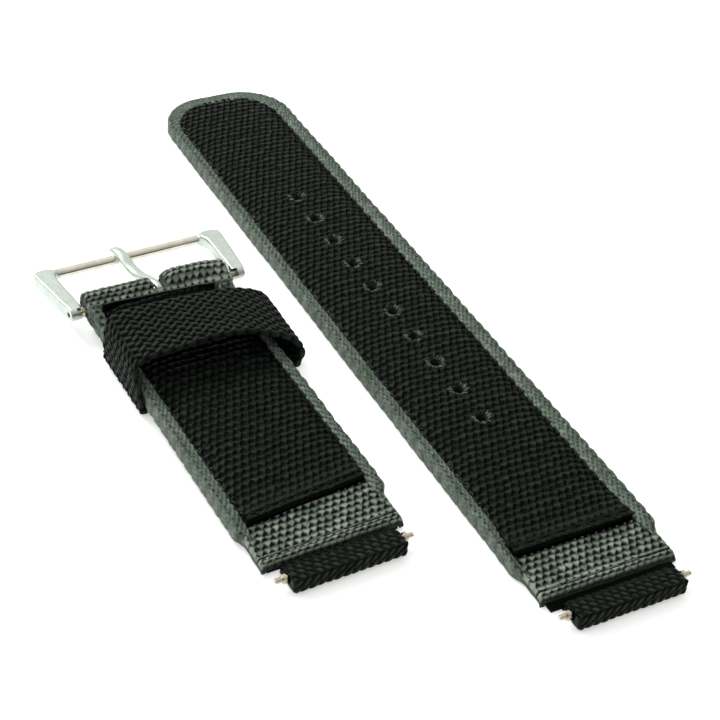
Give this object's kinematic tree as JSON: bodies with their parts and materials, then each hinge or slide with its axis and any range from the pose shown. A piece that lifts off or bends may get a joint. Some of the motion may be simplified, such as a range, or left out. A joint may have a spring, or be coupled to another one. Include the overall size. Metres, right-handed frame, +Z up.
{
  "type": "watch strap",
  "caption": "Two-piece woven watch strap with a steel tongue buckle, a sliding webbing keeper and sprung lug bars.",
  "frame": {"origin": "centre of the bounding box's underside, on the surface that both pieces lie on", "axes": "+Y along the holed piece from its lug end to its free end, +X across the strap from the buckle piece to the holed piece, +Z up"},
  "size_m": [0.063, 0.1428, 0.0091],
  "materials": {
    "grey_webbing": "coarse matte weave",
    "black_webbing": "coarse weave with a faint sheen",
    "keeper_webbing": "ribbed weave with a faint sheen",
    "lining": "fine matte cloth",
    "thread": "twisted sewing thread",
    "buckle_steel": "satin",
    "bar_steel": "polished"
  },
  "bodies": {
    "strap": {"long_base_webbing": "grey_webbing", "long_edge_strip": "grey_webbing", "long_top_overlay": "black_webbing", "long_lining": "lining", "long_overlay_thread": "thread", "long_lug_thread": "thread", "long_lug_loop": "black_webbing", "long_bar_tube": "bar_steel", "long_bar_spring": "bar_steel", "short_base_webbing": "grey_webbing", "short_edge_strip_left": "grey_webbing", "short_edge_strip_right": "grey_webbing", "short_top_overlay": "black_webbing", "short_lining": "lining", "short_overlay_thread": "thread", "short_lug_thread": "thread", "short_lug_loop": "black_webbing", "short_bar_tube": "bar_steel", "short_bar_spring": "bar_steel", "buckle_bar_tube": "bar_steel", "buckle_bar_spring": "bar_steel"},
    "frame": {"buckle_frame": "buckle_steel"},
    "tongue": {"buckle_tongue": "buckle_steel"},
    "keeper": {"keeper_loop": "keeper_webbing"},
    "long_pin_left": {"long_bar_pin_left": "bar_steel"},
    "long_pin_right": {"long_bar_pin_right": "bar_steel"},
    "short_pin_left": {"short_bar_pin_left": "bar_steel"},
    "short_pin_right": {"short_bar_pin_right": "bar_steel"},
    "buckle_pin_left": {"buckle_bar_pin_left": "bar_steel"},
    "buckle_pin_right": {"buckle_bar_pin_right": "bar_steel"}
  },
  "joints": [
    {"name": "buckle_frame_hinge", "type": "hinge", "parent": "strap", "child": "frame", "pos_m": [-0.01451, 0.01478, 0.00392], "axis": [0.9994, 0.0349, 0], "range_deg": [-60, 45]},
    {"name": "buckle_tongue_hinge", "type": "hinge", "parent": "frame", "child": "tongue", "pos_m": [-0.01451, 0.01478, 0.00392], "axis": [0.9994, 0.0349, 0], "range_deg": [0, 60]},
    {"name": "keeper_slide", "type": "slide", "parent": "strap", "child": "keeper", "axis": [-0.0349, 0.9989, 0.0318], "range_m": [-0.028, 0.003]},
    {"name": "long_pin_left_press", "type": "slide", "parent": "strap", "child": "long_pin_left", "axis": [1, 0, 0], "range_m": [0, 0.0012], "stiffness_N_per_m": 300, "springref_m": -0.001, "deforming": ["long_bar_spring"]},
    {"name": "long_pin_right_press", "type": "slide", "parent": "strap", "child": "long_pin_right", "axis": [-1, 0, 0], "range_m": [0, 0.0012], "stiffness_N_per_m": 300, "springref_m": -0.001, "deforming": ["long_bar_spring"]},
    {"name": "short_pin_left_press", "type": "slide", "parent": "strap", "child": "short_pin_left", "axis": [0.9994, 0.0349, 0], "range_m": [0, 0.0012], "stiffness_N_per_m": 300, "springref_m": -0.001, "deforming": ["short_bar_spring"]},
    {"name": "short_pin_right_press", "type": "slide", "parent": "strap", "child": "short_pin_right", "axis": [-0.9994, -0.0349, 0], "range_m": [0, 0.0012], "stiffness_N_per_m": 300, "springref_m": -0.001, "deforming": ["short_bar_spring"]},
    {"name": "buckle_pin_left_press", "type": "slide", "parent": "strap", "child": "buckle_pin_left", "axis": [0.9994, 0.0349, 0], "range_m": [0, 0.0016], "stiffness_N_per_m": 300, "springref_m": -0.001, "deforming": ["buckle_bar_spring"]},
    {"name": "buckle_pin_right_press", "type": "slide", "parent": "strap", "child": "buckle_pin_right", "axis": [-0.9994, -0.0349, 0], "range_m": [0, 0.0016], "stiffness_N_per_m": 300, "springref_m": -0.001, "deforming": ["buckle_bar_spring"]}
  ]
}
